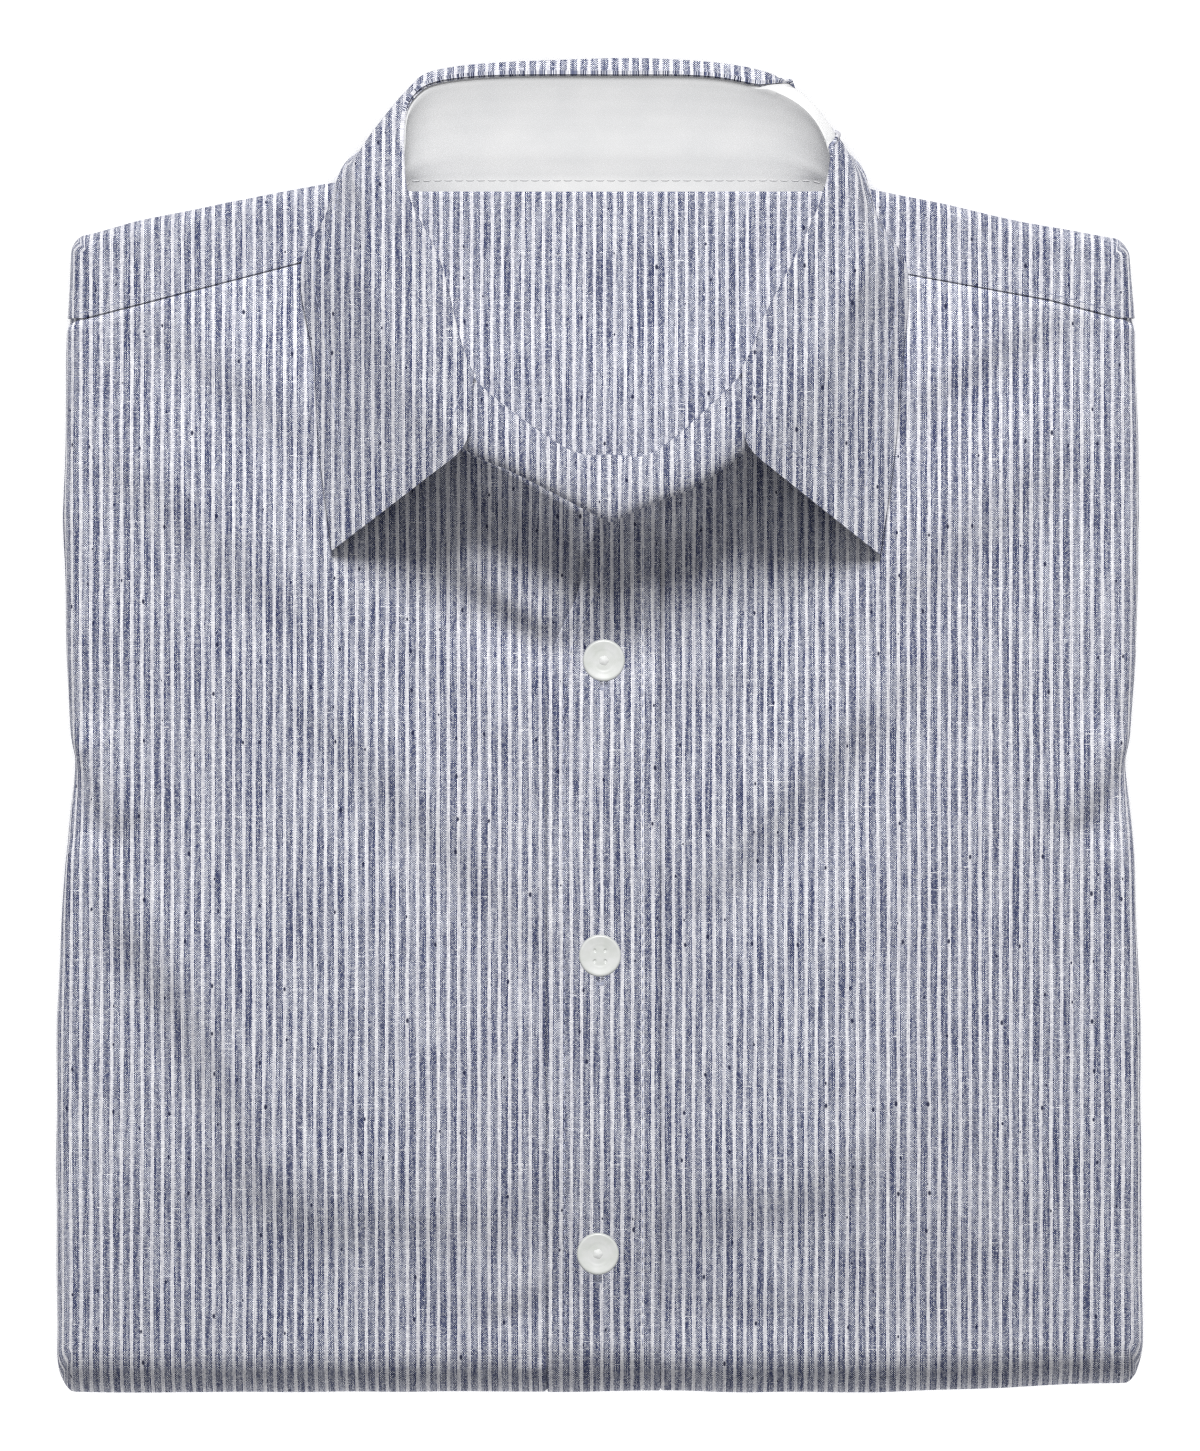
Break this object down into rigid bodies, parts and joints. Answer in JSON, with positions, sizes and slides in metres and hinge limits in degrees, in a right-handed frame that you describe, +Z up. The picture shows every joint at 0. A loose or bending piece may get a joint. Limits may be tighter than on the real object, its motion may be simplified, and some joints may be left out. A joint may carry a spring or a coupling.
{
  "type": "folded dress shirt",
  "caption": "Striped dress shirt folded flat, front up, with a standing spread collar, a buttoned placket and a contrast inner collar band.",
  "frame": {"origin": "on the surface the shirt lies on, under the middle of its bounding box", "axes": "+Z up out of the shirt's front, +Y towards the collar, +X towards the wearer's left side"},
  "size_m": [0.3107, 0.3834, 0.0519],
  "materials": {
    "striped_cotton": "matte yarn-dyed cotton, white and blue-grey stripes",
    "white_cotton": "matte smooth white cotton",
    "button": "off-white polished resin"
  },
  "bodies": {
    "root": {"folded_layers": "striped_cotton", "right_front": "striped_cotton", "left_front": "striped_cotton", "placket": "striped_cotton", "right_yoke": "striped_cotton", "left_yoke": "striped_cotton", "yoke_inside": "striped_cotton", "collar_band": "striped_cotton", "band_inside": "white_cotton", "collar_leaf": "striped_cotton", "button_1": "button", "button_2": "button", "button_3": "button"}
  },
  "joints": []
}
